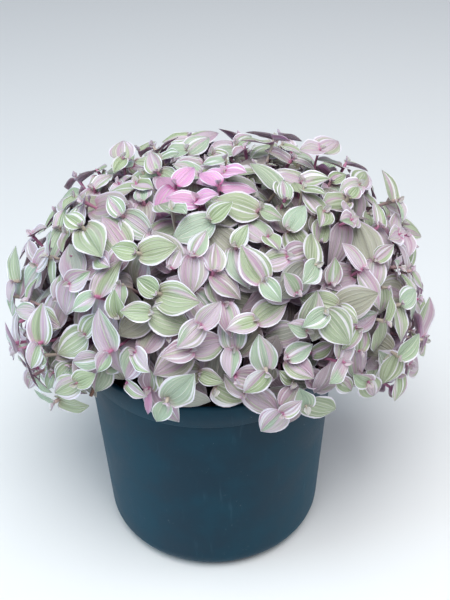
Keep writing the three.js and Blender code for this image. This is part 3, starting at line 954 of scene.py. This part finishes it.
def leaf_material():
    n = Nodes("leaf_blade")
    u, along = n.blade_place()
    across = n.line(u, 2.0, -1.0)
    tone, seed, age, under = (n.value(name) for name in ("tone", "seed", "age", "under"))
    edge = n.math("ABSOLUTE", across)

    def stripes(scale, run, shift, low, high):
        """Soft stripes, scaled across and along a leaf, from none at a low noise to full at a high one."""
        where = n.place(n.times(across, scale), n.times(along, run))
        offset = n.place(n.times(seed, shift), shift, n.times(seed, STRIPE_DEPTH * shift))
        return n.ramp(n.noise(n.vector("ADD", where, offset)), low, high)

    # Sage, cooler on some leaves, with a blush over one side or all of it on a pinker leaf
    sides = stripes(1.1, 0.4, 37.0, 0.0, 1.0)
    blushed = n.ramp(n.math("ADD", sides, n.line(tone, 1.3, -0.735)), 0.42, 0.54)
    green = n.mix(stripes(4.0, 0.8, 11.0, 0.35, 0.75), SAGE, DEEP_SAGE)
    green = n.mix(n.ramp(n.math("FRACT", n.times(seed, 7.0)), 0.5, 0.9, 0.0, 0.8), green, COOL_SAGE)
    pink = n.mix(stripes(2.0, 0.6, 23.0, 0.4, 0.75), BLUSH, ROSE)
    pink = n.mix(n.times(stripes(4.5, 0.5, 91.0, 0.6, 0.66), 0.6), pink, SAGE)
    pink = n.mix(n.times(n.ramp(tone, 1.0, BRIGHTEST), 0.75), pink, BRIGHT_PINK)
    face = n.mix(n.times(blushed, 0.92), green, pink)

    # Fine cream lines from heel to tip, and now and then a bolder one
    strays = stripes(1.6, 0.5, 19.0, 0.2, 0.8)
    wave = n.line(across, LINE_WAVE, n.line(seed, LINE_SHIFT, n.times(strays, LINE_STRAY)))
    lines = n.ramp(n.math("SINE", wave), 0.35, 0.95)
    strength = n.line(stripes(2.6, 0.9, 51.0, 0.3, 0.7), 0.5, 0.14)
    face = n.mix(n.times(lines, strength), face, CREAM)
    face = n.mix(n.times(stripes(3.0, 0.3, 67.0, 0.67, 0.71), 0.65), face, PALE_EDGE)

    # A thin pale edge, and a magenta heel on a pinker leaf
    rim = n.math("ADD", edge, n.line(stripes(0.7, 2.4, 83.0, 0.0, 1.0), 0.16, -0.08))
    rim = n.math("MAXIMUM", rim, n.ramp(along, 0.9, 1.0))
    face = n.mix(n.times(n.ramp(rim, 0.865, 0.93), 0.92), face, PALE_EDGE)
    heel = n.ramp(along, 0.0, 0.13, 1.0, 0.0)
    face = n.mix(n.times(heel, n.line(tone, 0.9, -0.15)), face, MAGENTA)

    # The underside, lilac to purple with dusty stripes and a blush at the edge
    below = n.mix(stripes(1.4, 0.6, 43.0, 0.3, 0.75), LILAC, PURPLE)
    below = n.mix(n.times(stripes(3.2, 0.5, 29.0, 0.5, 0.62), 0.5), below, DUSKY_MAUVE_AND_SHADE)
    below = n.mix(n.times(n.ramp(rim, 0.82, 0.94), 0.6), below, BLUSH)

    # Older, lower leaves get darker faces, partly their age and partly painted shade; the youngest is paler
    # on both
    # This darkening of the older leaves is partly painted shade for the lower leaves in the gaps of the mound
    face = n.mix(n.ramp(age, 0.25, 0.85, 0.0, 0.75), face, DUSKY_MAUVE_AND_SHADE)
    both = n.mix(under, face, below)
    n.set(n.shader.inputs["Base Color"], n.mix(n.ramp(age, 0.16, 0.0, 0.0, 0.5), both, YOUNG))

    # Ridges at the lines, a groove down the middle and fine cells
    ridges = n.math("SUBTRACT", n.times(lines, 0.8), n.ramp(edge, 0.0, 0.08, 0.8, 0.0))
    cells = n.noise(n.place(across, n.times(along, 2.0), seed), 26.0, 2.0)
    n.bump(n.line(cells, 0.35, ridges), SKIN_BUMP)
    n.shader.inputs["Roughness"].default_value = 0.48
    n.shader.inputs["Subsurface Weight"].default_value = 0.25
    n.shader.inputs["Subsurface Radius"].default_value = (0.0014, 0.0013, 0.0009)
    n.shader.inputs["Subsurface Scale"].default_value = 1.0
    return n.material


def stem_material():
    n = Nodes("stem_skin")
    around, along = n.blade_place()
    tone = n.value("tone")
    lines = n.noise(n.place(n.times(around, 9.0), n.times(along, 3.0)), 1.0, 2.0)
    skin = n.mix(n.ramp(lines, 0.35, 0.65), MAUVE_SKIN, TAN_SKIN)
    skin = n.mix(n.times(tone, 0.5), skin, PLUM_SKIN)
    young = n.mix(n.ramp(tone, 0.3, 0.7), PALE_SHOOT, PINK_SHOOT)
    skin = n.mix(n.ramp(along, 0.5, 0.85, 0.0, 0.85), skin, young)
    skin = n.mix(n.ramp(along, 0.25, 0.0, 0.0, 0.6), skin, ROOT_BROWN)
    skin = n.mix(n.ramp(n.value("age"), 0.6, 0.9), skin, DRY_BROWN)
    n.set(n.shader.inputs["Base Color"], skin)
    n.bump(lines, SKIN_BUMP)
    n.shader.inputs["Roughness"].default_value = 0.5
    return n.material


def pot_material():
    n = Nodes("pot_plastic")
    where = n.put("NewGeometry").outputs["Position"]
    mottle = n.noise(where, 38.0, 4.0, 0.6)
    base = n.mix(n.ramp(mottle, 0.35, 0.7), PETROL, LIGHT_PETROL)
    streaks = n.noise(n.vector("MULTIPLY", where, (1.0, 1.0, 0.12)), 420.0, 2.0)
    base = n.mix(n.ramp(streaks, 0.62, 0.8, 0.0, 0.22), base, SCUFF)
    specks = n.noise(where, 1150.0, 1.0)
    patches = n.ramp(n.noise(where, 55.0, 2.0), 0.45, 0.7)
    specks = n.times(n.ramp(specks, 0.75, 0.8), patches)
    base = n.mix(n.times(specks, 0.6), base, DUST)
    n.set(n.shader.inputs["Base Color"], base)
    n.set(n.shader.inputs["Roughness"], n.ramp(mottle, 0.3, 0.7, 0.46, 0.6))
    n.bump(n.noise(where, 2600.0, 2.0), PLASTIC_BUMP)
    n.shader.inputs["Specular IOR Level"].default_value = 0.16
    n.shader.inputs["Sheen Weight"].default_value = 0.07
    n.shader.inputs["Sheen Roughness"].default_value = 0.45
    n.shader.inputs["Sheen Tint"].default_value = BLUE_SHEEN
    return n.material


def soil_material():
    n = Nodes("compost")
    where = n.put("NewGeometry").outputs["Position"]
    crumbs = n.put("TexVoronoi", {"Vector": where, "Scale": 420.0}).outputs["Distance"]
    grain = n.noise(where, 900.0, 4.0, 0.65)
    base = n.mix(n.ramp(grain, 0.3, 0.7), PEAT, BARK)
    # Painted shade in the gaps between crumbs: darker towards each crumb's edge, where the bump sinks
    base = n.mix(n.ramp(crumbs, 0.0, 0.7, 0.0, 0.5), base, CRUMB_GAP_PAINTED_SHADE)
    n.set(n.shader.inputs["Base Color"], base)
    n.bump(n.line(grain, 0.6, n.times(crumbs, -1.0)), COMPOST_BUMP)
    n.shader.inputs["Roughness"].default_value = 0.95
    return n.material


def floor_material():
    n = Nodes("floor_paint")
    n.shader.inputs["Base Color"].default_value = FLOOR_GREY
    n.shader.inputs["Roughness"].default_value = 0.8
    return n.material


# Pot and compost

POT_SIDES = 160
POT_CREASE = math.radians(40)
CORNER_TURNS = 8
EDGE_ROUNDING = 0.35
BAND_HOLLOW = 0.4

# The radius of a ring of points on the floor, and the heights of those on the wall's outside and inside
FLOOR_RING = 20
WALL_HEIGHTS = (30, 50, 70, 85)
INNER_HEIGHT = 60

# The rim's rounding, point by point: how far in from its outer or inner face, and how far below its top
OUTER_ROLL = [(0.3, 1), (0.5, EDGE_ROUNDING), (0.9, 0)]
INNER_ROLL = [(0.4, 0), (0.8, EDGE_ROUNDING), (1, 1)]

# How far above its foot the band is nearly, and then fully, at its own radius
BAND_TURN = (0.3, 0.8)

DRAIN_SIDES = 32
DRILL_LENGTH = 6 * WALL

SOIL_SIDES = 120
SOIL_RINGS = 40
SOIL_CORNER_TURNS = 4
SOIL_FOOT_CLEAR = 0.6
SURFACE_DEPTH = 1
CRUMB_HEIGHT = 0.35


def wall_radius(z):
    return FOOT_RADIUS + (WAIST_RADIUS - FOOT_RADIUS) * (z - FOOT_CORNER) / (POT_HEIGHT - FOOT_CORNER)


def foot_corner(radius, turns):
    """A quarter turn from a floor up to a wall, about the middle of the pot's own rounded foot corner."""
    quarter = [k / turns * math.pi / 2 for k in range(turns + 1)]
    middle = FOOT_RADIUS - FOOT_CORNER
    return [(middle + radius * math.sin(a), FOOT_CORNER - radius * math.cos(a)) for a in quarter]


def lathe(name, profile, sides):
    """A profile of radii and heights turned about Z, closed on the axis at both ends."""
    rings = profile[1:-1]
    turns = np.arange(sides) * 2 * np.pi / sides
    points = [[0, 0, profile[0][1]]]
    for radius, height in rings:
        points += [[radius * math.cos(a), radius * math.sin(a), height] for a in turns]
    points.append([0, 0, profile[-1][1]])
    faces = []
    for s in range(sides):
        t = (s + 1) % sides
        faces.append((0, 1 + t, 1 + s))
        for r in range(len(rings) - 1):
            a, b = 1 + r * sides, 1 + (r + 1) * sides
            faces.append((a + s, a + t, b + t, b + s))
        last = 1 + (len(rings) - 1) * sides
        faces.append((last + s, last + t, len(points) - 1))
    return new_object(name, np.array(points, float), faces)


def pot_profile():
    """The outside from the middle of the base up to the rim, and the inside back down to the middle."""
    foot = POT_HEIGHT - BAND_HEIGHT
    r = wall_radius(foot)
    band = r + BAND_STEP
    e = EDGE_ROUNDING
    outside = [(0, 0), (FLOOR_RING, 0), *foot_corner(FOOT_CORNER, CORNER_TURNS)]
    outside += [(wall_radius(z), z) for z in WALL_HEIGHTS]
    outside += [(r, foot - e), (r + e, foot), (band - e, foot + BAND_TURN[0]), (band, foot + BAND_TURN[1])]
    outside += [(RIM_RADIUS - inset, POT_HEIGHT - drop) for inset, drop in OUTER_ROLL]
    inside = [(RIM_RADIUS - WALL - inset, POT_HEIGHT - drop) for inset, drop in INNER_ROLL]
    inside += [(r - WALL + BAND_HOLLOW, foot), (wall_radius(INNER_HEIGHT) - WALL, INNER_HEIGHT)]
    inside += [*foot_corner(FOOT_CORNER - WALL, CORNER_TURNS)[::-1], (FLOOR_RING, WALL), (0, WALL)]
    return outside + inside


def drill(pot, circle, turn):
    """A round hole through the pot's floor."""
    bpy.ops.mesh.primitive_cylinder_add(
        vertices=DRAIN_SIDES, radius=DRAIN_RADIUS * MM, depth=DRILL_LENGTH * MM
    )
    tool = bpy.context.object
    tool.location = (circle * math.cos(turn) * MM, circle * math.sin(turn) * MM, 0)
    cut = pot.modifiers.new("drain", "BOOLEAN")
    cut.object = tool
    cut.operation = "DIFFERENCE"
    bpy.context.view_layer.objects.active = pot
    bpy.ops.object.modifier_apply(modifier=cut.name)
    bpy.data.objects.remove(tool)


def make_pot():
    pot = lathe("pot_shell", pot_profile(), POT_SIDES)
    for k in range(DRAIN_COUNT):
        drill(pot, DRAIN_CIRCLE, k / DRAIN_COUNT * 2 * math.pi)
    pot.data.shade_smooth()
    pot.data.set_sharp_from_angle(angle=POT_CREASE)
    return pot


def crumb(x, y):
    """How far the compost's crumbs stand out of its surface, in waves of about 3 and 2 mm."""
    large = math.sin(1.9 * x + 0.7 * y) * math.cos(1.7 * y - 0.9 * x)
    small = math.sin(3.3 * x) * math.sin(2.9 * y)
    return CRUMB_HEIGHT * (large + small)


def make_soil():
    edge = wall_radius(SOIL_TOP) - WALL - SOIL_CLEAR
    corner = foot_corner(FOOT_CORNER - WALL - SOIL_FOOT_CLEAR, SOIL_CORNER_TURNS)
    rings = [(edge * k / SOIL_RINGS, SOIL_TOP) for k in range(SOIL_RINGS, 0, -1)]
    soil = lathe("soil_crumbs", [(0, corner[0][1]), *corner, *rings, (0, SOIL_TOP)], SOIL_SIDES)
    for vertex in soil.data.vertices:
        x, y, z = vertex.co / MM
        if z > SOIL_TOP - SURFACE_DEPTH:
            vertex.co.z = (soil_height(x, y) + crumb(x, y)) * MM
    return soil


# The stage, in metres: a floor, a camera where the photo's stood, and lights in watts

FLOOR_SIZE = 6

CAMERA_PLACE = (0.007, -0.357, 0.361)
CAMERA_PITCH = math.radians(34)
CAMERA_ROLL = math.radians(-1)

# The lens's focal length and the sensor's height, which are in millimetres
CAMERA_LENS = 57.4
SENSOR = 36

LIT_PLACE = (0, 0, 0.12)
LIGHTS = {
    "sky": {"place": (0.0, -0.45, 1.15), "size": 0.8, "power": 16.2, "tint": (0.96, 0.98, 1)},
    "left": {"place": (-1.15, -0.2, 0.4), "size": 0.6, "power": 5.8, "tint": (0.52, 0.82, 1)},
    "right": {"place": (1.2, 0.1, 0.35), "size": 0.6, "power": 3.5, "tint": (0.92, 0.96, 1)},
}
SKY_TINT = (0.82, 0.88, 1, 1)
SKY_STRENGTH = 0.45


def make_stage():
    bpy.ops.mesh.primitive_plane_add(size=FLOOR_SIZE)
    floor = bpy.context.object
    floor.name = "floor"
    floor.data.materials.append(floor_material())


def make_camera():
    data = bpy.data.cameras.new("camera")
    data.sensor_fit = "VERTICAL"
    data.sensor_height = SENSOR
    data.lens = CAMERA_LENS
    camera = bpy.data.objects.new("camera", data)
    pitch = Matrix.Rotation(math.pi / 2 - CAMERA_PITCH, 4, Vector((1, 0, 0)))
    roll = Matrix.Rotation(CAMERA_ROLL, 4, "Z")
    camera.matrix_world = Matrix.Translation(CAMERA_PLACE) @ pitch @ roll
    bpy.context.scene.collection.objects.link(camera)
    bpy.context.scene.camera = camera


def add_light(name, place, size, power, tint):
    """An area light that faces the middle of the plant."""
    data = bpy.data.lights.new(name, "AREA")
    data.size = size
    data.energy = power
    data.color = tint
    light = bpy.data.objects.new(name, data)
    light.location = place
    light.rotation_euler = (Vector(LIT_PLACE) - Vector(place)).to_track_quat("-Z", "Y").to_euler()
    bpy.context.scene.collection.objects.link(light)


def light_scene():
    for name, light in LIGHTS.items():
        add_light(name, **light)
    world = bpy.data.worlds.new("studio")
    world.use_nodes = True
    world.node_tree.nodes["Background"].inputs[0].default_value = SKY_TINT
    world.node_tree.nodes["Background"].inputs[1].default_value = SKY_STRENGTH
    bpy.context.scene.world = world
    bpy.context.scene.view_settings.view_transform = "Standard"


# The whole part

leaf = leaf_material()
skin = stem_material()
pot = make_pot()
pot.data.materials.append(pot_material())
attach(pot, "root")
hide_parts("pot")

soil = make_soil()
soil.data.materials.append(soil_material())
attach(soil, "root")
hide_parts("soil")

for stem in stems:
    node = node_name(stem)
    leafy = dress_stem(stem)
    leafy.data.materials.append(leaf)
    leafy.data.materials.append(skin)
    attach(leafy, "root")
    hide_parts(node)

make_stage()
make_camera()
light_scene()
